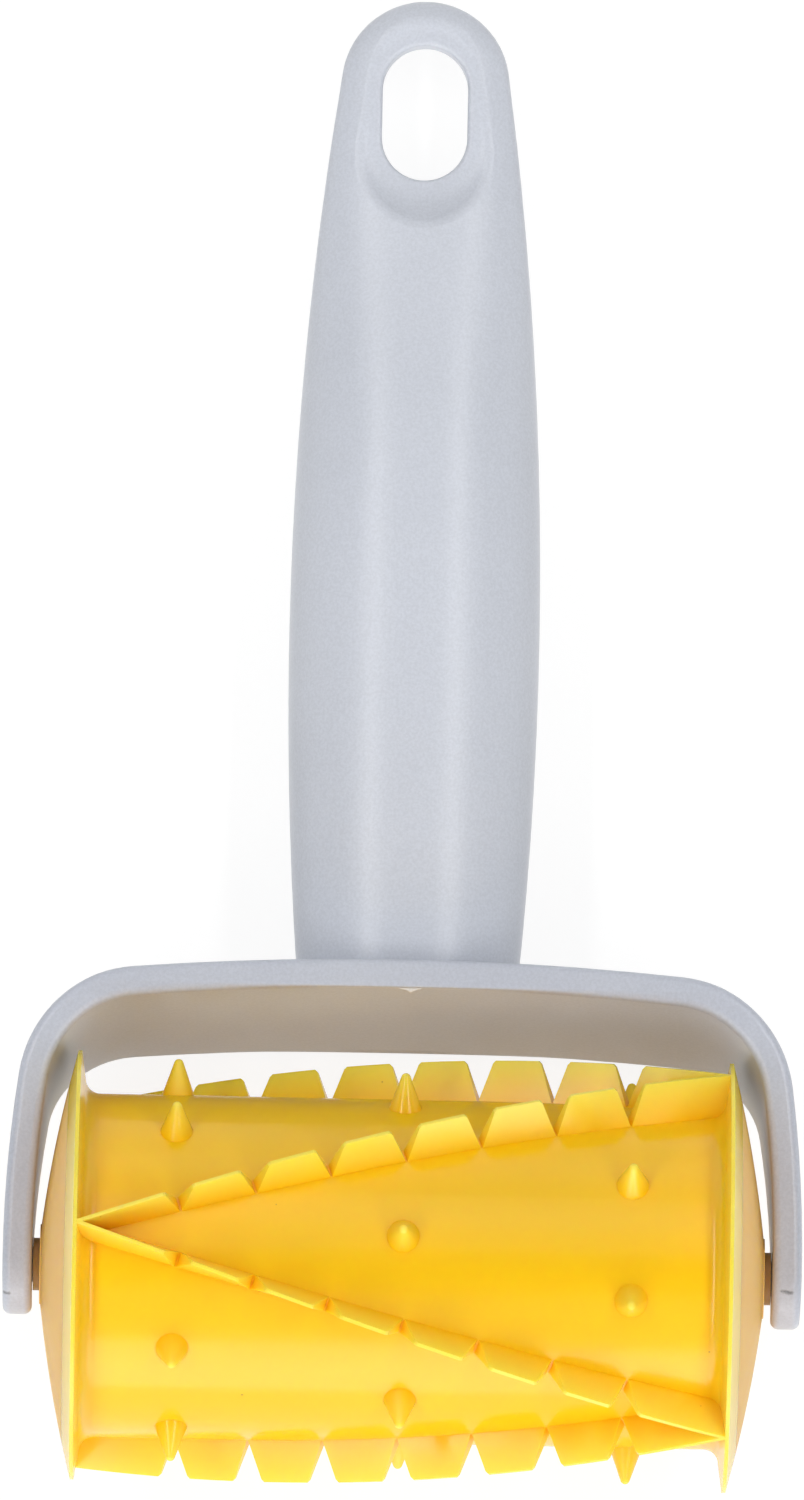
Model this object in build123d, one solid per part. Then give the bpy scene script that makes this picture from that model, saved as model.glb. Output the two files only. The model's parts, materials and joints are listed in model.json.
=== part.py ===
from build123d import *
from math import atan, cos, hypot, pi, radians, sin, sqrt, tan
import os

# A hand roller that cuts a sheet of dough into long triangles and docks them in one pass.
# A hollow plastic barrel carries two cutting discs, a zigzag of serrated blades between them
# and a ring of docking spikes. Two domed caps close the barrel and turn on the journals of a
# U-shaped yoke, and a hollow handle with a hanging eye is pressed on the yoke's tang.
#
# The fork frame: X is the roller's axis, Z runs up the yoke to the handle, and -Y is the front.
# At the end the tool is laid on its back, as it rests on a table: on its two discs and on the
# handle, with the front upwards.

# Clearances
running_clearance = 0.06        # radial, between a journal and its cap
axial_play = 0.15               # between a cap's boss and the arm, each side
fit_clearance = 0.05            # between parts that are pressed together
overrun = 1.0                   # how far a cutter passes the surface that it cuts

# The barrel: core, discs, blades and spikes in one moulding
disc_radius = 29.0
disc_spacing = 88.0             # between the rims of the two discs
disc_rim_width = 0.5
disc_bevel_deg = 14.0           # of the outer face, from the disc's plane
disc_inner_bevel_deg = 8.0
disc_height = 5.8               # of the discs' rims above the core
core_wall = 2.2
core_fillet = 2.0               # where the discs rise from the core
blade_setback = 0.2             # of the blades' edges below the discs' rims
blade_root_width = 2.3
blade_edge_width = 0.5
blade_sections = 9
zigzag_periods = 3              # whole zigzags round the barrel
zigzag_start_deg = -5.3         # of the first point on the left disc, up from the front
notch_count = 7                 # in each blade
notch_pitch = 10.05             # along the axis
notch_half_angle_deg = 19.0
notch_floor_width = 0.2
tooth_corner = 0.4              # cut from the corners of the teeth
spike_setback = 0.9             # of the spikes' tips below the discs' rims
spike_root_radius = 2.4         # of the spike itself
spike_point_radius = 0.65
spike_disc_distance = 13.05     # from the wide end's disc to the pair of spikes
spike_pair_deg = 20.0           # each side of the triangle's middle line

# The end caps
cap_seat_step = 1.2             # of the rebate in the barrel's end, outside the core's surface
cap_rim_thickness = 1.4
cap_wall = 1.8
cap_dome_rise = 3.5             # from the rim to the flat round the journal
cap_dome_bulge = 0.3            # of the dome past a plain cone
cap_flat_radius = 4.2
cap_skirt_length = 5.0
cap_skirt_wall = 1.6
cap_boss_radius = 3.55          # of the boss that keeps the cap off the arm
cap_boss_length = 0.9
cap_hub_radius = 5.4
cap_hub_length = 9.0
cap_rib_count = 6
cap_rib_width = 1.4

# The yoke
journal_radius = 2.4
journal_length = 5.6            # from the arm's inner face
journal_chamfer = 0.7
yoke_depth = 29.8               # of the strip, front to back
bridge_thickness = 4.1
bridge_clearance = 6.7          # from the discs' rims to the bridge
crown_radius = 400.0            # of the bridge's gentle arch, outside
arm_thickness = 3.95
arm_bow_radius = 168.0          # of the arms' outer faces, upright at the journals
arm_tip_radius = 6.8
corner_radius = 12.8            # inside
yoke_edge_fillet = 1.1

# The tang and the handle's socket
socket_length = 84.0
socket_wall = 2.6               # of the handle round the socket's mouth
socket_draft_deg = 1.0
socket_end_fillet = 2.0
tang_length = 56.0
plug_length = 6.0
tang_rib_thickness = 3.2

# The handle
handle_bend_deg = 14.0          # forwards from the yoke
handle_length = 134.95          # from the bridge to the top of the eye
belly_half_width = 17.0
belly_height = 47.5             # from the bridge
side_arc_radius = 530.0         # of the handle's two sides, seen from the front
belly_half_depth = 11.8
depth_arc_radius = 620.0        # of the handle's front and back
tab_half_depth = 3.6            # where the handle flattens into its eye
tab_blend_start = 68.0
tab_blend_end = 128.0
tab_end_rounding = 6.0          # over which the eye's top edge rounds off
web_thickness = 5.2             # between the two scoops of the eye
scoop_slope_deg = 42.0
scoop_margin = 3.0              # from the eye's hole to where the slope meets the web
scoop_fillet = 5.5              # between the slope and the web
scoop_rim_fillet = 2.0
eye_width = 11.6
eye_height = 18.4
eye_top_wall = 6.25             # above the eye's hole
eye_edge_fillet = 0.6
body_stations = 20
crown_angles_deg = (14, 28, 42, 55, 67, 77, 85)

# The resting tilt is searched for by halving
tilt_limit_deg = 45
tilt_steps = 16


# The barrel
core_radius = disc_radius - disc_height
blade_radius = disc_radius - blade_setback
spike_tip_radius = disc_radius - spike_setback
cap_seat_radius = core_radius + cap_seat_step
disc_inner_x = disc_spacing / 2 - disc_rim_width / 2
disc_outer_x = disc_spacing / 2 + disc_rim_width / 2
disc_root_x = disc_inner_x - disc_height * tan(radians(disc_inner_bevel_deg))
barrel_end_x = disc_outer_x + (disc_radius - cap_seat_radius) * tan(radians(disc_bevel_deg))
cap_seat_x = barrel_end_x - cap_rim_thickness
bore_radius = core_radius - core_wall
half_pitch_deg = 180 / zigzag_periods


def radial(angle_deg):
    """The direction away from the axis at an angle up from the front."""
    return Vector(0, -cos(radians(angle_deg)), sin(radians(angle_deg)))


def barrel_body():
    """The tube with its two wedge-shaped cutting discs, turned about the axis."""
    half = Polyline(
        (0, bore_radius),
        (cap_seat_x, bore_radius),
        (cap_seat_x, cap_seat_radius),
        (barrel_end_x, cap_seat_radius),
        (disc_outer_x, disc_radius),
        (disc_inner_x, disc_radius),
        (disc_root_x, core_radius),
        (0, core_radius),
        close=True,
    )
    face = make_face(half)
    root = face.vertices().sort_by_distance((disc_root_x, core_radius))[0]
    face = fillet(root, core_fillet)
    body = revolve(face, Axis.X)
    return body + mirror(body, Plane.YZ)


def blade(side):
    """One blade, from a point on the left disc to the right disc, up (+1) or down (-1)."""
    reach = disc_inner_x + disc_rim_width / 4
    slope_deg = side * half_pitch_deg / (2 * disc_inner_x)
    lead = atan(radians(slope_deg) * (core_radius + blade_radius) / 2)
    root_radius = core_radius - core_wall / 2

    def angle_at(x):
        return zigzag_start_deg + slope_deg * (x + disc_inner_x)

    profile = Polygon(
        (root_radius, -blade_root_width / cos(lead) / 2),
        (blade_radius, -blade_edge_width / cos(lead) / 2),
        (blade_radius, blade_edge_width / cos(lead) / 2),
        (root_radius, blade_root_width / cos(lead) / 2),
        align=None,
    )
    sections = []
    for i in range(blade_sections):
        x = reach * (2 * i / (blade_sections - 1) - 1)
        plane = Plane(origin=(x, 0, 0), x_dir=radial(angle_at(x)), z_dir=(1, 0, 0))
        sections.append(plane * profile)
    wall = loft(sections)

    shoulder_height = blade_radius - tooth_corner
    half_floor = notch_floor_width / 2
    half_gap = half_floor + (shoulder_height - core_radius) * tan(radians(notch_half_angle_deg))
    half_mouth = half_gap + tooth_corner + overrun
    notch_profile = Polygon(
        (-half_floor, core_radius),
        (half_floor, core_radius),
        (half_gap, shoulder_height),
        (half_mouth, blade_radius + overrun),
        (-half_mouth, blade_radius + overrun),
        (-half_gap, shoulder_height),
        align=None,
    )
    notches = []
    for i in range(notch_count):
        x = notch_pitch * (i - (notch_count - 1) / 2)
        out = radial(angle_at(x))
        along = Vector(1, 0, 0) * cos(lead) + Vector(1, 0, 0).cross(out) * -sin(lead)
        plane = Plane(origin=(x, 0, 0), x_dir=along, z_dir=along.cross(out))
        notches.append(extrude(plane * notch_profile, blade_root_width, both=True))
    return wall - notches


def spike(x, angle_deg):
    """One docking spike, a cone with a rounded point."""
    root = core_radius - core_wall / 2
    half_angle = atan((spike_root_radius - spike_point_radius) / (spike_tip_radius - core_radius))
    ball_height = spike_tip_radius - spike_point_radius
    touch = ball_height + spike_point_radius * sin(half_angle)
    touch_radius = spike_point_radius * cos(half_angle)
    foot_radius = touch_radius + (touch - root) * tan(half_angle)
    side = Polyline((0, root), (foot_radius, root), (touch_radius, touch))
    mid_turn = (half_angle + pi / 2) / 2
    shoulder = (spike_point_radius * cos(mid_turn), ball_height + spike_point_radius * sin(mid_turn))
    point = ThreePointArc((touch_radius, touch), shoulder, (0, spike_tip_radius))
    axis = Line((0, spike_tip_radius), (0, root))
    cone = revolve(Plane.XZ * make_face(side + point + axis), Axis.Z)
    return Pos(x, 0, 0) * (Rot(90 - angle_deg, 0, 0) * cone)


def around(piece):
    """The piece repeated once for each whole zigzag."""
    return [Rot(360 * k / zigzag_periods, 0, 0) * piece for k in range(zigzag_periods)]


def barrel():
    body = barrel_body()
    for side in (1, -1):
        body += around(blade(side))
    pair_x = disc_inner_x - spike_disc_distance
    for apex_side in (1, -1):
        middle = zigzag_start_deg + (0 if apex_side > 0 else half_pitch_deg)
        body += around(spike(0, middle))
        for turn in (1, -1):
            body += around(spike(apex_side * pair_x, middle + turn * spike_pair_deg))
    bore = Cylinder(bore_radius, 2 * barrel_end_x, rotation=(0, 90, 0))
    return body - bore


# The end caps
cap_flat_x = barrel_end_x + cap_dome_rise


def dome_line(outset):
    """The cap's dome from its rim to the flat, moved outwards by the outset."""
    rim = (barrel_end_x + outset, cap_seat_radius - fit_clearance)
    flat = (cap_flat_x + outset, cap_flat_radius)
    middle = ((rim[0] + flat[0]) / 2 + cap_dome_bulge, (rim[1] + flat[1]) / 2)
    return ThreePointArc(rim, middle, flat)


def end_cap():
    """The right-hand cap: a domed cover with a skirt in the barrel and a hub on the journal."""
    rim_radius = cap_seat_radius - fit_clearance
    hub_bore = journal_radius + running_clearance
    outer = dome_line(0)
    cover = make_face(
        outer
        + Line(outer @ 1, (cap_flat_x, 0))
        + Polyline((cap_flat_x, 0), (cap_seat_x, 0), (cap_seat_x, rim_radius), outer @ 0)
    )
    inner = dome_line(-cap_wall)
    skirt_inner = bore_radius - fit_clearance - cap_skirt_wall
    low_x = cap_seat_x - cap_skirt_length
    hollow = make_face(
        inner
        + Line(inner @ 1, (cap_flat_x - cap_wall, 0))
        + Polyline((cap_flat_x - cap_wall, 0), (low_x, 0), (low_x, rim_radius), inner @ 0)
    )
    room = Pos(low_x, 0) * Rectangle(2 * cap_dome_rise + 4 * cap_skirt_length, 2 * skirt_inner)
    skirt = Pos((low_x + cap_seat_x) / 2, skirt_inner + cap_skirt_wall / 2) * Rectangle(
        cap_skirt_length, cap_skirt_wall
    )
    hub_middle = cap_flat_x - cap_hub_length / 2
    hub = Pos(hub_middle, cap_hub_radius / 2) * Rectangle(cap_hub_length, cap_hub_radius)
    boss_middle = cap_flat_x + cap_boss_length / 2
    boss = Pos(boss_middle, cap_boss_radius / 2) * Rectangle(cap_boss_length, cap_boss_radius)
    bore = Pos(hub_middle, hub_bore / 2) * Rectangle(cap_hub_length + 4 * cap_boss_length, hub_bore)
    face = cover - (hollow & room) + skirt + hub + boss - bore
    cap = revolve(face, Axis.X)
    rib_height = skirt_inner - cap_hub_radius + cap_skirt_wall
    rib_length = cap_flat_x - cap_wall - low_x
    rib = Pos(low_x + rib_length / 2, 0, cap_hub_radius + rib_height / 2 - cap_skirt_wall / 2) * Box(
        rib_length, cap_rib_width, rib_height
    )
    inside = revolve(hollow & room, Axis.X)
    for i in range(cap_rib_count):
        cap += (Rot(360 * i / cap_rib_count, 0, 0) * rib) & inside
    return cap


# The yoke
arm_inner_x = cap_flat_x + cap_boss_length + axial_play     # at the height of the journals
bridge_low = disc_radius + bridge_clearance
bridge_top = bridge_low + bridge_thickness


def arch(span, top, crown, bow, corner, depth):
    """A solid under a crowned, round-cornered arch whose sides bow and spread downwards."""
    low = -2 * arm_tip_radius
    high = top + overrun
    sides = (Pos(span - bow, 0) * Circle(bow)) & (Pos(bow - span, 0) * Circle(bow))
    sides = sides & (Pos(0, (low + high) / 2) * Rectangle(2 * span, high - low))
    face = sides & (Pos(0, top - crown) * Circle(crown))
    corners = face.vertices().group_by(Axis.Y)[-1]
    face = fillet(corners, corner)
    return extrude(Plane.XZ * face, depth / 2, both=True)


def under_arch(top):
    """Everything under the bridge's top, or under a lower arch, for cutting."""
    span = arm_inner_x + arm_thickness
    corner = corner_radius + bridge_thickness
    return arch(span, top, crown_radius, arm_bow_radius, corner, 4 * yoke_depth)


def strip_side():
    """The yoke's strip seen from the side: deep at the bridge, tapering to the round tips."""
    tip = Circle(arm_tip_radius)
    top = Pos(0, (bridge_low + bridge_top) / 2) * Rectangle(yoke_depth, bridge_thickness)
    cap = Pos(0, bridge_top + overrun) * Rectangle(yoke_depth, overrun)
    outline = make_hull(tip.edges() + top.edges() + cap.edges())
    reach = arm_inner_x + arm_thickness + 2 * arm_tip_radius
    return extrude(Plane.YZ * outline, reach, both=True)


def journal(side):
    """The pin that a cap turns on, rooted half through the arm."""
    length = journal_length + arm_thickness / 2
    pin = Pos(0, 0, journal_length - length / 2) * Cylinder(journal_radius, length)
    pin = chamfer(pin.edges().group_by(Axis.Z)[-1], journal_chamfer)
    return Pos(side * arm_inner_x, 0, 0) * (Rot(0, -side * 90, 0) * pin)


# The handle's own frame stands on the bridge's top, bent forwards.
handle_frame = Pos(0, 0, bridge_top) * Rot(handle_bend_deg, 0, 0)
eye_middle = handle_length - eye_top_wall - eye_height / 2
side_centre = belly_half_width - side_arc_radius
eye_reach = handle_length - belly_height
crown_arc = (side_centre**2 + eye_reach**2 - side_arc_radius**2) / (2 * (eye_reach - side_arc_radius))
crown_centre = handle_length - crown_arc
side_height = sqrt(side_arc_radius**2 - (crown_centre - belly_height) ** 2)
crown_joint = belly_height + side_arc_radius * (crown_centre - belly_height) / hypot(
    side_centre, crown_centre - belly_height
)


def half_width(height):
    """Half the handle's width at a height: a long arc, then the round top."""
    if height > crown_joint:
        return sqrt(crown_arc**2 - (height - crown_centre) ** 2)
    return side_centre + sqrt(side_arc_radius**2 - (height - belly_height) ** 2)


def half_depth(height):
    """Half the handle's depth: a long arc that eases into the flat tab and rounds off."""
    arc = belly_half_depth - depth_arc_radius + sqrt(depth_arc_radius**2 - (height - belly_height) ** 2)
    blend = min(max((height - tab_blend_start) / (tab_blend_end - tab_blend_start), 0), 1)
    ease = blend * blend * (3 - 2 * blend)
    depth = arc + (tab_half_depth - arc) * ease
    into_end = max(height - (handle_length - tab_end_rounding), 0) / tab_end_rounding
    return depth * sqrt(1 - into_end**2)


def socket(clearance):
    """The handle's tapered socket, or with a clearance what fills it."""
    taper = tan(radians(socket_draft_deg))
    sections = []
    for height in (-bridge_thickness * 2, 0, socket_length):
        width = half_width(0) - socket_wall - clearance - height * taper
        depth = half_depth(0) - socket_wall - clearance - height * taper
        sections.append(Pos(0, 0, height) * Ellipse(width, depth))
    return loft(sections, ruled=True)


def scoop():
    """What is cut from the front of the tab: a dish round the eye, with sloping walls."""
    floor = SlotOverall(eye_height + 2 * scoop_margin, eye_width + 2 * scoop_margin)
    dish = extrude(Pos(0, eye_middle) * Rot(0, 0, 90) * floor, belly_half_depth, taper=scoop_slope_deg - 90)
    dish = fillet(dish.faces().sort_by(Axis.Z)[0].edges(), scoop_fillet)
    return Plane.XZ * (Pos(0, 0, web_thickness / 2) * dish)


def handle():
    heights = [-bridge_thickness * 2]
    heights += [crown_centre * i / body_stations for i in range(body_stations + 1)]
    heights += [crown_centre + crown_arc * sin(radians(a)) for a in crown_angles_deg]
    grip = loft([Pos(0, 0, h) * Ellipse(half_width(h), half_depth(h)) for h in heights])
    front = scoop()
    grip = grip - front - mirror(front, Plane.XZ)
    scoop_rims = grip.edges().filter_by(GeomType.BSPLINE).filter_by(
        lambda e: e.center().Z > tab_blend_start and abs(e.center().Y) > web_thickness / 2 + fit_clearance
    )
    grip = fillet(scoop_rims, scoop_rim_fillet)
    eye = Plane.XZ * (Pos(0, eye_middle) * Rot(0, 0, 90) * SlotOverall(eye_height, eye_width))
    grip -= extrude(eye, belly_half_depth, both=True)
    half_eye = eye_height / 2 + fit_clearance
    eye_rims = grip.edges().filter_by_position(Axis.Z, eye_middle - half_eye, eye_middle + half_eye)
    eye_rims = eye_rims.filter_by(lambda e: abs(abs(e.center().Y) - web_thickness / 2) < fit_clearance)
    eye_rims = eye_rims.filter_by(lambda e: abs(e.center().X) < eye_width / 2 + fit_clearance)
    grip = fillet(eye_rims, eye_edge_fillet)
    hollow = socket(0)
    hollow = fillet(hollow.edges().group_by(Axis.Z)[-1], socket_end_fillet)
    return handle_frame * (grip - hollow)


def tang():
    """The yoke's tang: a plug that closes the handle's foot, and a cross of ribs above it."""
    width = 2 * belly_half_width
    depth = 2 * belly_half_depth
    wide = Pos(0, 0, tang_length / 2) * Box(width, tang_rib_thickness, tang_length)
    deep = Pos(0, 0, tang_length / 2) * Box(tang_rib_thickness, depth, tang_length)
    plug = Pos(0, 0, plug_length / 2 - bridge_thickness) * Box(
        width, depth, plug_length + 2 * bridge_thickness
    )
    return handle_frame * ((wide + deep + plug) & socket(fit_clearance)) - under_arch(
        bridge_top - bridge_thickness / 2
    )


def yoke():
    inner_crown = crown_radius - bridge_thickness
    inner_bow = arm_bow_radius - arm_thickness
    inside = arch(arm_inner_x, bridge_low, inner_crown, inner_bow, corner_radius, 4 * yoke_depth)
    strip = (under_arch(bridge_top) - inside) & strip_side()
    strip = fillet(strip.edges(), yoke_edge_fillet)
    body = strip + tang()
    for side in (1, -1):
        body += journal(side)
    return body


# The pieces, in the fork frame
right_cap = end_cap()
pieces = {
    "handle": handle() - under_arch(bridge_top),
    "yoke": yoke(),
    "roller_barrel": barrel(),
    "left_end_cap": mirror(right_cap, Plane.YZ),
    "right_end_cap": right_cap,
}


def laid_down(piece, tilt_deg):
    """The piece with the tool on its back and the handle's side of the yoke tipped down."""
    return Rot(-90 - tilt_deg, 0, 0) * piece


def resting_tilt():
    """The yoke's tilt at which the handle's back touches the table that the discs rest on."""
    low, high = 0, tilt_limit_deg
    for _ in range(tilt_steps):
        middle = (low + high) / 2
        handle_low = laid_down(pieces["handle"], middle).bounding_box().min.Z
        if handle_low > -disc_radius:
            low = middle
        else:
            high = middle
    return (low + high) / 2


tilt = resting_tilt()
laid = {name: laid_down(piece, tilt) for name, piece in pieces.items()}
box = Compound(children=list(laid.values())).bounding_box()
to_row = Pos(-(box.min.X + box.max.X) / 2, -(box.min.Y + box.max.Y) / 2, -box.min.Z)

os.makedirs("parts", exist_ok=True)
for name, piece in laid.items():
    solids = piece.moved(to_row).solids()
    shape = solids[0] if len(solids) == 1 else Compound(children=solids)
    export_step(shape, f"parts/{name}.step")
    print(name, len(solids), "solids,", round(shape.volume), "mm3")

axis_point = (to_row * laid_down(Vertex(0, 0, 0), tilt)).center()
print("yoke tilt", round(tilt, 3), "roller axis at", axis_point)
print("size", round(box.size.X, 2), round(box.size.Y, 2), round(box.size.Z, 2))
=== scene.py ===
# %% [markdown]
# This lesson dresses a small kitchen roller for showing: a grey fork-shaped handle with a yellow barrel
# that cuts and docks dough. The shapes come finished from the maker's solids. What is left for Blender
# is what the eye reads as plastic: how each surface was moulded, how it takes the light, and the
# light itself.

# %% Load the solids
import json
from math import pi, radians

import bmesh
import bpy
from mathutils import Matrix, Vector


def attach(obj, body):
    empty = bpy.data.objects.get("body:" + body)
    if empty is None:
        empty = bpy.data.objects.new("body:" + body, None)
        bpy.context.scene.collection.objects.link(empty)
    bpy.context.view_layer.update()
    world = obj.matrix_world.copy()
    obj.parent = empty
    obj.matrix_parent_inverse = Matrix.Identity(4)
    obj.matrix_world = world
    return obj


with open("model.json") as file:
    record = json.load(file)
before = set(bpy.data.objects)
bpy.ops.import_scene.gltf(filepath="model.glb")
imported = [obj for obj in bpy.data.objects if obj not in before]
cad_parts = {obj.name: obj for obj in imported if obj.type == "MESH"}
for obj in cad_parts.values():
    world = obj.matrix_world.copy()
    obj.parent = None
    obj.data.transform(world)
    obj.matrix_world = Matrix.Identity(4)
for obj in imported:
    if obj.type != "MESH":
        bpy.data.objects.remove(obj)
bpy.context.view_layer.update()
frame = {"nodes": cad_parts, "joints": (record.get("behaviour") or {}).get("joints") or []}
MM = 0.001
print("solids:", ", ".join(sorted(frame["nodes"])))

# %% [markdown]
# The photograph was taken from straight above, with the tool lying on its two discs and on the back of
# its handle. It was taken from far away with a long lens, so the two ends of the barrel look alike and
# almost nothing shows of the walls that run along the line of sight. The camera here stands 3 m away, a
# fraction of a degree off the upright, and is rolled by the little that the tool lay askew.

# %% The camera
CAMERA_DISTANCE = 3000 * MM
CAMERA_ELEVATION = radians(89.8)
CAMERA_YAW = radians(0.2)
CAMERA_ROLL = radians(1.18)
FOCAL_LENGTH_PX = 22038
PHOTO_HEIGHT_PX = 1500
SENSOR = 36.0
AIM = Vector((-1.35, -1.175, 5.7)) * MM
QUARTER_TURN = radians(90)

lens = bpy.data.cameras.new("camera")
lens.sensor_width = SENSOR
lens.lens = SENSOR * FOCAL_LENGTH_PX / PHOTO_HEIGHT_PX
lens.clip_end = 2 * CAMERA_DISTANCE
camera = bpy.data.objects.new("camera", lens)
turn = (
    Matrix.Rotation(-CAMERA_YAW, 4, "Y")
    @ Matrix.Rotation(QUARTER_TURN - CAMERA_ELEVATION, 4, "X")
    @ Matrix.Rotation(CAMERA_ROLL, 4, "Z")
)
camera.matrix_world = Matrix.Translation(AIM) @ turn @ Matrix.Translation((0, 0, CAMERA_DISTANCE))
bpy.context.scene.collection.objects.link(camera)
bpy.context.scene.camera = camera
bpy.context.scene.view_settings.view_transform = "Standard"
print("camera: lens", round(lens.lens), "mm")

# %% [markdown]
# Colours are written as the hex values that a colour picker shows. Blender works in linear light, so one
# function turns them, by the curve of the sRGB standard: straight near black, a power above.

# %% Colours
SRGB_LARGEST = 255
SRGB_STRAIGHT_BELOW = 0.04045
SRGB_SLOPE = 12.92
SRGB_SHIFT = 0.055
SRGB_POWER = 2.4


def linear(hex_colour):
    """The linear RGBA of an sRGB hex colour."""
    channels = [int(hex_colour[i:i + 2], 16) / SRGB_LARGEST for i in (1, 3, 5)]
    return (*[
        c / SRGB_SLOPE if c <= SRGB_STRAIGHT_BELOW else ((c + SRGB_SHIFT) / (1 + SRGB_SHIFT)) ** SRGB_POWER
        for c in channels
    ], 1)


WHITE = linear("#FFFFFF")
print("white is", WHITE)

# %% [markdown]
# A material is a tree of nodes. One small function adds a node, sets it and links it, which keeps the
# recipes below as short as their explanations. An input is named, or numbered where a node has several
# of one name. What it is given is a value, or the output of an earlier node.

# %% Nodes
def add(tree, kind, inputs=None, **settings):
    """Add one node, make its settings, then fill or link its inputs."""
    node = tree.nodes.new(kind)
    for name, value in settings.items():
        setattr(node, name, value)
    for name, value in (inputs or {}).items():
        if isinstance(value, bpy.types.NodeSocket):
            tree.links.new(value, node.inputs[name])
        else:
            node.inputs[name].default_value = value
    return node


def new_material(name):
    """An empty material and its node tree."""
    made = bpy.data.materials.new(name)
    made.use_nodes = True
    made.node_tree.nodes.clear()
    return made, made.node_tree


paper, paper_tree = new_material("white_paper")
print("first material:", paper.name)

# %% [markdown]
# The photograph has no background but white, and its shadows are so faint that light must also have come
# from below. A real photographer gets that with a sheet of paper on a light table. Here the floor is that
# sheet. Rays from the camera, and those that come by way of a gloss, see it lit up to white, with a soft
# shadow in it. Every other ray sees plain paper with the table's small glow, which reaches the caps, the
# undersides and the thin blades.

# %% The paper on the table
PAPER = linear("#CBCBC9")
PAPER_AS_SEEN = linear("#7E7E7D")
PAPER_GLOW = 0.85
TABLE_GLOW = 0.3
FLOOR_HALF_SIZE = 1500 * MM


def maths(tree, operation, *values):
    """The result of one Math node."""
    return add(tree, "ShaderNodeMath", dict(enumerate(values)), operation=operation).outputs[0]


def is_seen(tree):
    """1 for a ray from the camera, one by way of a gloss and one through a clear body, else 0."""
    ray = add(tree, "ShaderNodeLightPath").outputs
    seen = maths(tree, "MAXIMUM", ray["Is Camera Ray"], ray["Is Glossy Ray"])
    return maths(tree, "MAXIMUM", seen, ray["Is Transmission Ray"])


def glowing_paper(tree, colour, glow):
    """A matte surface with a white glow from inside."""
    matte = add(tree, "ShaderNodeBsdfDiffuse", {"Color": colour})
    inside = add(tree, "ShaderNodeEmission", {"Color": WHITE, "Strength": glow})
    return add(tree, "ShaderNodeAddShader", {0: matte.outputs[0], 1: inside.outputs[0]}).outputs[0]


plain = glowing_paper(paper_tree, PAPER, TABLE_GLOW)
lit_up = glowing_paper(paper_tree, PAPER_AS_SEEN, PAPER_GLOW)
either = add(paper_tree, "ShaderNodeMixShader", {0: is_seen(paper_tree), 1: plain, 2: lit_up})
add(paper_tree, "ShaderNodeOutputMaterial", {"Surface": either.outputs[0]})

sheet = bmesh.new()
bmesh.ops.create_grid(sheet, x_segments=1, y_segments=1, size=FLOOR_HALF_SIZE)
floor_mesh = bpy.data.meshes.new("floor")
sheet.to_mesh(floor_mesh)
sheet.free()
floor_mesh.materials.append(paper)
floor = bpy.data.objects.new("floor", floor_mesh)
bpy.context.scene.collection.objects.link(floor)
print("floor:", 2 * FLOOR_HALF_SIZE, "m across")

# %% [markdown]
# The studio is a white tent with softboxes outside it. The tent's own glow is small, and what a gloss
# mirrors of it darkens towards the top, as the cloth does. The heights at which it begins and ends to
# darken are sines of the angle above the table.

# %% The tent
TENT_GLOW = 0.05
TENT_FOOT = 1.0
TENT_TOP = 0.15
DARKER_FROM = 0.1
DARKEST_FROM = 0.6


def remap(tree, value, low, high, new_low=0.0, new_high=1.0):
    """The value, held between low and high and stretched to run from new_low to new_high."""
    return add(tree, "ShaderNodeMapRange", {0: value, 1: low, 2: high, 3: new_low, 4: new_high}).outputs[0]


tent = bpy.data.worlds.new("tent")
bpy.context.scene.world = tent
tent.use_nodes = True
tree = tent.node_tree
tree.nodes.clear()
way = add(tree, "ShaderNodeSeparateXYZ", {0: add(tree, "ShaderNodeTexCoord").outputs["Generated"]})
cloth = remap(tree, way.outputs["Z"], DARKER_FROM, DARKEST_FROM, TENT_FOOT, TENT_TOP)
light = add(tree, "ShaderNodeBackground", {"Color": WHITE, "Strength": TENT_GLOW})
wall = add(tree, "ShaderNodeBackground", {"Color": WHITE, "Strength": cloth})
either = add(tree, "ShaderNodeMixShader", {0: is_seen(tree), 1: light.outputs[0], 2: wall.outputs[0]})
add(tree, "ShaderNodeOutputWorld", {"Surface": either.outputs[0]})
print("tent: from", TENT_FOOT, "at its foot to", TENT_TOP, "at its top")

# %% [markdown]
# Two long strips hang over the tool, one to the left and one to the right, parallel to the handle. They
# draw the two pale streaks down the grip and the upright streaks at the roots of the discs, where one
# large box would have left a single broad sheen. The front wall lights the barrel's lower half, its caps
# and the space under the bridge. It is low enough for the barrel to shade the foot of the handle from
# it. It and the back wall are wide, because a small box of the same power would be brighter, and the
# glossy barrel would mirror it as a pale patch.

# %% The softboxes
SOFTBOX_DISTANCE = 1400 * MM


def softbox(name, azimuth, height, width, length, radiance):
    """A softbox in degrees round the tool and above the table, seen as that bright."""
    box = bpy.data.lights.new(name, "AREA")
    box.shape = "RECTANGLE"
    box.size = width
    box.size_y = length
    box.energy = radiance * pi * width * length
    out = Vector((0, -SOFTBOX_DISTANCE, 0))
    out.rotate(Matrix.Rotation(-radians(height), 4, "X"))
    out.rotate(Matrix.Rotation(radians(azimuth), 4, "Z"))
    stand = bpy.data.objects.new(name, box)
    facing = out.to_track_quat("Z", "Y").to_matrix().to_4x4()
    stand.matrix_world = Matrix.Translation(AIM + out) @ facing
    bpy.context.scene.collection.objects.link(stand)
    return stand


softboxes = [
    softbox("left_strip", -90, 62, 2000 * MM, 150 * MM, 8.9),
    softbox("right_strip", 90, 62, 2000 * MM, 150 * MM, 8.9),
    softbox("front_wall", 0, 22, 2600 * MM, 900 * MM, 2.1),
    softbox("high_front_box", 0, 45, 1600 * MM, 1600 * MM, 0.42),
    softbox("high_back_box", 180, 60, 900 * MM, 900 * MM, 0.65),
    softbox("back_wall", 180, 35, 2400 * MM, 1400 * MM, 0.5),
]
print("softboxes:", ", ".join(stand.name for stand in softboxes))

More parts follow.
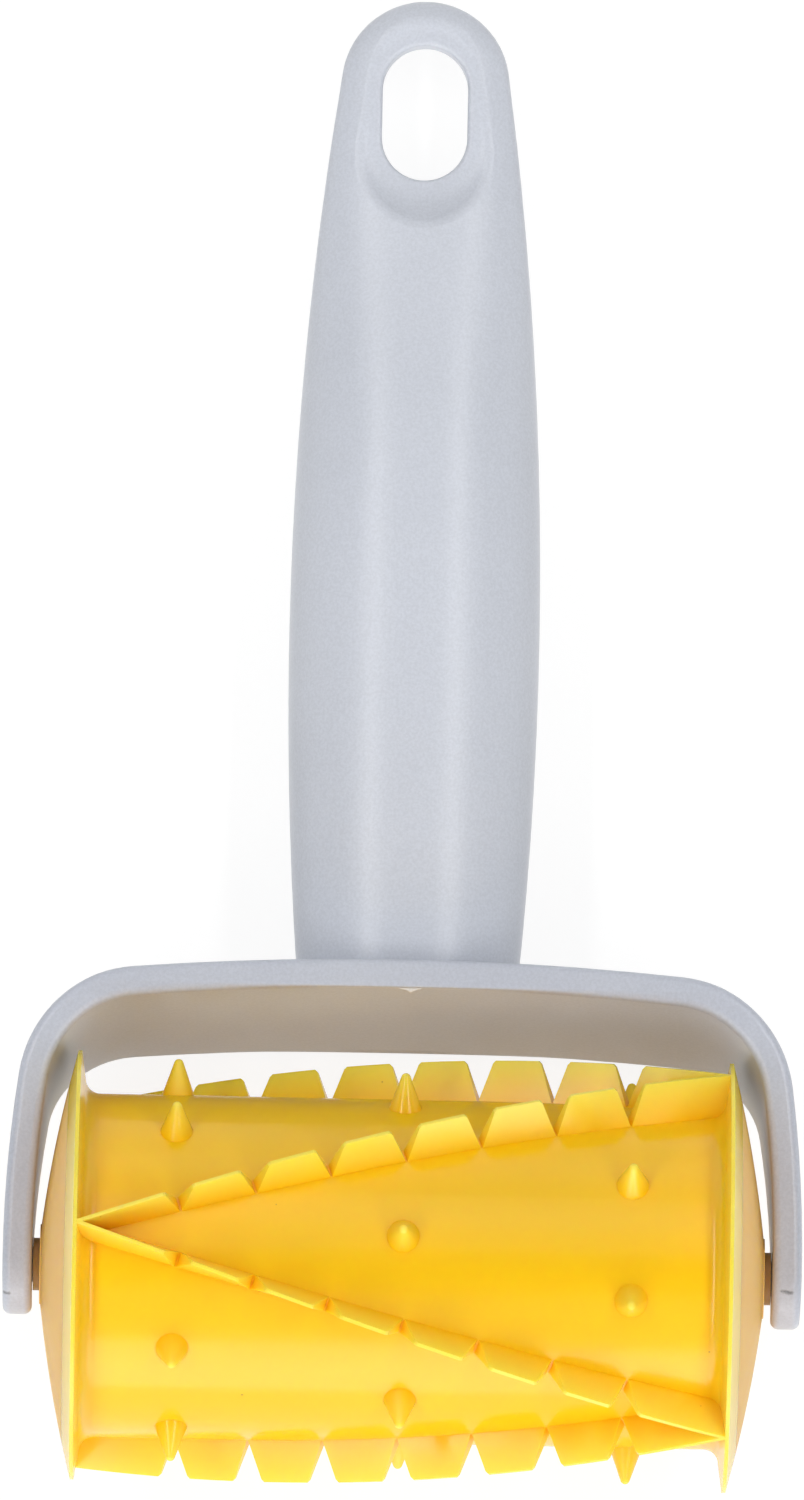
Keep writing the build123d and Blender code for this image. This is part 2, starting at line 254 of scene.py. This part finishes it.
# %% [markdown]
# A used tool has rubs: short scratches in which dirt stays. Each is given by its two ends on the
# surface. The nodes measure how far a point is from the line between them, which is better than
# painting it, because the mark stays sharp at any size. A fine noise shifts each point a little first,
# so that the mark's border is ragged. The noise's values lie about one half, so half its width is
# taken off again.

# %% Rubs
RUB_WIDTH = 0.35 * MM
RUB_CORE = 0.2
RUB_COVER = 0.8
RUB_DETAIL = 1.0
GIVES_A_NUMBER = ("LENGTH", "DISTANCE", "DOT_PRODUCT")


def vector_maths(tree, operation, *values, **scale):
    """The result of one Vector Math node, a number or a vector."""
    inputs = {**dict(enumerate(values)), **scale}
    node = add(tree, "ShaderNodeVectorMath", inputs, operation=operation)
    return node.outputs["Value" if operation in GIVES_A_NUMBER else "Vector"]


def rub(tree, place, start, end):
    """How much of the plastic is dirty, most on the line from start to end and none beside it."""
    along = end - start
    wobble = add(tree, "ShaderNodeTexNoise", {"Vector": place, "Scale": 1 / RUB_WIDTH, "Detail": RUB_DETAIL})
    shift = vector_maths(tree, "SCALE", wobble.outputs["Color"], Scale=RUB_WIDTH)
    here = vector_maths(tree, "ADD", place, shift)
    here = vector_maths(tree, "SUBTRACT", here, start + Vector((RUB_WIDTH,) * 3) / 2)
    share = vector_maths(tree, "DOT_PRODUCT", here, along / along.length_squared)
    share = add(tree, "ShaderNodeClamp", {"Value": share}).outputs[0]
    nearest = vector_maths(tree, "SCALE", along, Scale=share)
    gap = vector_maths(tree, "DISTANCE", here, nearest)
    return remap(tree, gap, RUB_CORE * RUB_WIDTH, RUB_WIDTH, RUB_COVER, 0.0)


scuff_on_arm = (Vector((51.2, -73.1, 35.5)) * MM, Vector((52.6, -73.4, 35.6)) * MM)
nick_on_arm = (Vector((-53.8, -75.45, 34.0)) * MM, Vector((-52.9, -75.6, 34.6)) * MM)
rubs_on_arms = (scuff_on_arm, nick_on_arm)
print("rubs:", ", ".join(f"{(end - start).length / MM:.1f} mm long" for start, end in rubs_on_arms))

# %% [markdown]
# Light goes a little way into any plastic and comes out beside where it went in. The surfaces here share
# one small recipe: a colour, a roughness, an index of refraction, and the glow. The glow has a weight, a
# depth, and the share of that depth that red, green and blue go.

# %% Any plastic
def plastic(tree, colour, roughness, ior, glow, normal=None):
    """Finish a material as plastic. The glow is its weight, the share of each colour and the depth."""
    weight, share_of_each_colour, depth = glow
    inputs = {
        "Base Color": colour,
        "Roughness": roughness,
        "IOR": ior,
        "Subsurface Weight": weight,
        "Subsurface Radius": share_of_each_colour,
        "Subsurface Scale": depth,
    }
    if normal is not None:
        inputs["Normal"] = normal
    shader = add(tree, "ShaderNodeBsdfPrincipled", inputs)
    add(tree, "ShaderNodeOutputMaterial", {"Surface": shader.outputs[0]})


def mix(tree, share, first, second):
    """The first colour, with a share of the second in it."""
    return add(tree, "ShaderNodeMix", {"Factor": share, 6: first, 7: second}, data_type="RGBA").outputs[2]


def dress(node, material):
    """Give one of the solids its material."""
    slots = frame["nodes"][node].data.materials
    slots.clear()
    slots.append(material)


print("solids to dress:", len(frame["nodes"]))

# %% [markdown]
# The handle and the yoke are polypropylene, moulded in steel whose faces were eroded to a fine even
# grain. That grain is what makes the grey look dry and soft: it scatters the strips into broad pale
# streaks. The noise that stands for it is 0.4 mm across, coarser than the real grain of about 0.1 mm, so
# that it still shows at the photograph's scale. It sets the bump, the roughness and a faint speckle. A
# second noise, as broad as the grip, shifts the grey a little, as the melt does where it cooled at
# different speeds.
#
# A noise seldom comes near 0 or 1, so only the middle of its range is stretched to the whole. The
# roughness stays above 0.28 here and either above 0.45 or below 0.26 on the yellow, because a render with
# few samples draws thin dark flecks where a pattern crosses 0.27.

# %% Matte moulded polypropylene
GRAIN = 0.4 * MM
GRAIN_DETAIL = 2.0
GRAIN_FALL = 0.6
GRAIN_RELIEF = 0.5
MELT = 28 * MM
SPECKLE = 0.045
RUB_DIRT = linear("#6F7072")
MIDDLE_OF_NOISE = (0.35, 0.65)
MOST_OF_NOISE = (0.3, 0.7)
GREY_ROUGHNESS = (0.28, 0.35)
POLYPROPYLENE_IOR = 1.49
GREY_GLOW = 0.25
ALL_ALIKE = (1.0, 1.0, 1.0)


def noise(tree, place, width, **more):
    """A noise with spots of that width."""
    inputs = {"Vector": place, "Scale": 1 / width, "Detail": GRAIN_DETAIL, **more}
    return add(tree, "ShaderNodeTexNoise", inputs).outputs["Fac"]


def moulded_grey(name, shade, shade_in_melt, grain_height, glow_depth, rubs=()):
    """Matte polypropylene in two greys that run into each other, speckled by its grain and rubbed."""
    made, tree = new_material(name)
    place = add(tree, "ShaderNodeTexCoord").outputs["Object"]
    grain = noise(tree, place, GRAIN, Roughness=GRAIN_FALL)
    run = remap(tree, noise(tree, place, MELT), *MIDDLE_OF_NOISE)
    even = mix(tree, run, linear(shade), linear(shade_in_melt))
    speck = remap(tree, grain, *MIDDLE_OF_NOISE, 1 - SPECKLE, 1 + SPECKLE)
    colour = vector_maths(tree, "SCALE", even, Scale=speck)
    for start, end in rubs:
        colour = mix(tree, rub(tree, place, start, end), colour, RUB_DIRT)
    dry = remap(tree, grain, *MOST_OF_NOISE, *GREY_ROUGHNESS)
    relief = add(tree, "ShaderNodeBump", {"Height": grain, "Strength": GRAIN_RELIEF, "Distance": grain_height})
    plastic(tree, colour, dry, POLYPROPYLENE_IOR, (GREY_GLOW, ALL_ALIKE, glow_depth), relief.outputs[0])
    return made


handle_plastic = moulded_grey("handle_polypropylene_eroded_grain", "#CFD3DC", "#CCD0D9", 0.012 * MM, 3.0 * MM)
yoke_plastic = moulded_grey(
    "yoke_polypropylene_eroded_grain", "#C6CAD4", "#C2C6D1", 0.02 * MM, 1.2 * MM, rubs_on_arms
)
dress("handle", handle_plastic)
dress("yoke", yoke_plastic)
print("grey:", handle_plastic.name, "and", yoke_plastic.name)

# %% [markdown]
# The barrel and its caps are a glossy yellow plastic, moulded in polished steel, the caps' with a satin
# face. Light goes further in than in the grey, and the blue is lost first. The colour is painted deepest
# on the thick tube and in the corners. It is paler and more lemon on the thin blades, points and rims, as a
# painted glow of the light that passes through them. The distance from the barrel's axis says how thin the
# plastic is, and that drives this painted glow. Close to the axis, at the cap's boss in the narrow gap to
# the fork, a brown painted shade darkens it. The caps are given a paler, tan yellow, a painted sheen for
# the white that their edge-on faces mirror. The polish of the mould varies in bands that run along the
# barrel, one beside the other round it, so the noise that drives the roughness is read on a circle round
# the axis and doesn't change along it. Here and there a grain of scorched melt shows as a tiny brown dot.
# A Voronoi pattern puts one in each cell, and only those whose centre lies at the surface are seen.

# %% Glossy yellow plastic
AXIS = Vector(frame["joints"][0]["pos_m"])
ACROSS_AXIS = (0, 1, 1)
CORE_RADIUS = 23.2 * MM
RIM_RADIUS = 29.0 * MM
# How fast the painted glow of thin plastic grows with its reach from the axis.
PAINTED_GLOW_POWER = 0.9
BOSS_RADIUS = 3.6 * MM
BOSS_SURROUND = 1.3
# The brown painted as shade on the cap's boss, in the narrow gap to the fork, and how much of it.
BOSS_PAINTED_SHADE = linear("#8A7B6C")
BOSS_PAINTED_SHADE_COVER = 0.4
SCORCH = linear("#A86F1E")
SCORCH_COVER = 0.6
SCORCH_SPACING = 7 * MM
SCORCH_RADIUS = 0.16 * MM
FLOW_BAND = 5 * MM
YELLOW_IOR = 1.48
YELLOW_GLOW = (0.65, (1.0, 0.8, 0.1), 2.0 * MM)


def yellow_colour(tree, place, reach, deep, thin):
    """Deep on the tube, with a painted glow where it runs out to a thin edge, painted brown shade at the boss,
    and scorched dots.
    """
    # Painted glow: the plastic is painted paler and more lemon the further it reaches out from the tube.
    painted_glow_share = remap(tree, reach, CORE_RADIUS, RIM_RADIUS)
    colour = mix(tree, maths(tree, "POWER", painted_glow_share, PAINTED_GLOW_POWER), linear(deep), linear(thin))
    # Painted shade: the boss, in the narrow gap to the fork, is painted brown.
    boss_painted_shade_share = remap(tree, reach, BOSS_RADIUS, BOSS_SURROUND * BOSS_RADIUS, BOSS_PAINTED_SHADE_COVER, 0.0)
    colour = mix(tree, boss_painted_shade_share, colour, BOSS_PAINTED_SHADE)
    dots = add(tree, "ShaderNodeTexVoronoi", {"Vector": place, "Scale": 1 / SCORCH_SPACING})
    dot = maths(tree, "LESS_THAN", dots.outputs["Distance"], SCORCH_RADIUS / SCORCH_SPACING)
    return mix(tree, maths(tree, "MULTIPLY", dot, SCORCH_COVER), colour, SCORCH)


def moulded_yellow(name, deep, thin, roughness):
    """Glossy plastic, its polish uneven in bands that run along the barrel."""
    made, tree = new_material(name)
    place = add(tree, "ShaderNodeTexCoord").outputs["Object"]
    spoke = vector_maths(tree, "MULTIPLY", vector_maths(tree, "SUBTRACT", place, AXIS), ACROSS_AXIS)
    colour = yellow_colour(tree, place, vector_maths(tree, "LENGTH", spoke), deep, thin)
    direction = vector_maths(tree, "NORMALIZE", spoke)
    bands = noise(tree, vector_maths(tree, "SCALE", direction, Scale=CORE_RADIUS), FLOW_BAND)
    polish = remap(tree, bands, *MOST_OF_NOISE, *roughness)
    plastic(tree, colour, polish, YELLOW_IOR, YELLOW_GLOW)
    return made


# The second yellow of each is the paler one, painted on thin plastic as a glow of light through it.
barrel_plastic = moulded_yellow("barrel_plastic_polished_mould", "#FFC70A", "#FFDF52", (0.18, 0.26))
# Painted sheen: the caps' paler, tan yellow stands in for the white mirrored by their edge-on faces.
cap_plastic = moulded_yellow("cap_plastic_satin_mould_painted_sheen", "#FFC36A", "#FFCE7C", (0.45, 0.55))
dress("roller_barrel", barrel_plastic)
dress("left_end_cap", cap_plastic)
dress("right_end_cap", cap_plastic)
print("yellow:", barrel_plastic.name, "and", cap_plastic.name)

# %% [markdown]
# The melt entered the yoke's mould at the middle of the bridge. Where the runner was snapped off, a
# wisp of plastic stayed on the front edge of its inner face. It is a row of flattened rings, wider in
# the middle. The first and the last are filled, bridging joins each to the next, and one subdivision
# rounds the whole. Its root is inside the yoke.

# %% The shape of the wisp at the gate
GATE = Vector((0.45, -33.15, 31.6)) * MM
RING_POINTS = 10
WISP_DIP = 0.3
WISP_ROUNDING = 0.6
# Each ring's place across the tool, its reach from the yoke and its thickness, in millimetres
WISP_RINGS = [
    (-1.8, 0.2, 0.06),
    (-1.1, 0.42, 0.18),
    (-0.5, 0.58, 0.26),
    (-0.1, 0.85, 0.32),
    (0.3, 0.66, 0.28),
    (0.9, 0.46, 0.2),
    (1.6, 0.2, 0.06),
]

wisp_mesh = bmesh.new()
upright = Matrix.Rotation(QUARTER_TURN, 4, "Y")
rings = []
for across, reach, thickness in WISP_RINGS:
    middle = Matrix.Translation(GATE + Vector((across, -reach / 2, -WISP_DIP * reach)) * MM)
    flattened = Matrix.Diagonal((thickness / 2 * MM, reach / 2 * MM, 1, 1))
    is_end = across in (WISP_RINGS[0][0], WISP_RINGS[-1][0])
    made = bmesh.ops.create_circle(
        wisp_mesh, cap_ends=is_end, segments=RING_POINTS, radius=1, matrix=middle @ upright @ flattened
    )
    rings.append(list({edge for corner in made["verts"] for edge in corner.link_edges}))
for ring, following in zip(rings, rings[1:]):
    bmesh.ops.bridge_loops(wisp_mesh, edges=ring + following)
bmesh.ops.recalc_face_normals(wisp_mesh, faces=wisp_mesh.faces)
bmesh.ops.subdivide_edges(
    wisp_mesh, edges=wisp_mesh.edges, cuts=1, smooth=WISP_ROUNDING, use_grid_fill=True
)
for face in wisp_mesh.faces:
    face.smooth = True
print("wisp:", len(wisp_mesh.faces), "faces")

# %% [markdown]
# The wisp is thin and was stretched as it tore. Stretched polypropylene fills with tiny voids, which
# scatter all the light, so it turned white and is duller than the yoke.

# %% The whitened plastic of the wisp
VOIDS = 0.3 * MM
VOIDS_FEW = linear("#DADADC")
VOIDS_MANY = linear("#F4F3EE")
TORN_ROUGHNESS = 0.5
TORN_GLOW = (0.6, ALL_ALIKE, 0.5 * MM)

whitened, tree = new_material("polypropylene_whitened_by_stretching")
place = add(tree, "ShaderNodeTexCoord").outputs["Object"]
white = mix(tree, noise(tree, place, VOIDS), VOIDS_FEW, VOIDS_MANY)
plastic(tree, white, TORN_ROUGHNESS, POLYPROPYLENE_IOR, TORN_GLOW)

mesh = bpy.data.meshes.new("gate_wisp")
wisp_mesh.to_mesh(mesh)
wisp_mesh.free()
mesh.materials.append(whitened)
wisp = bpy.data.objects.new("gate_wisp", mesh)
bpy.context.scene.collection.objects.link(wisp)
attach(wisp, "frame")
print("wisp:", whitened.name)
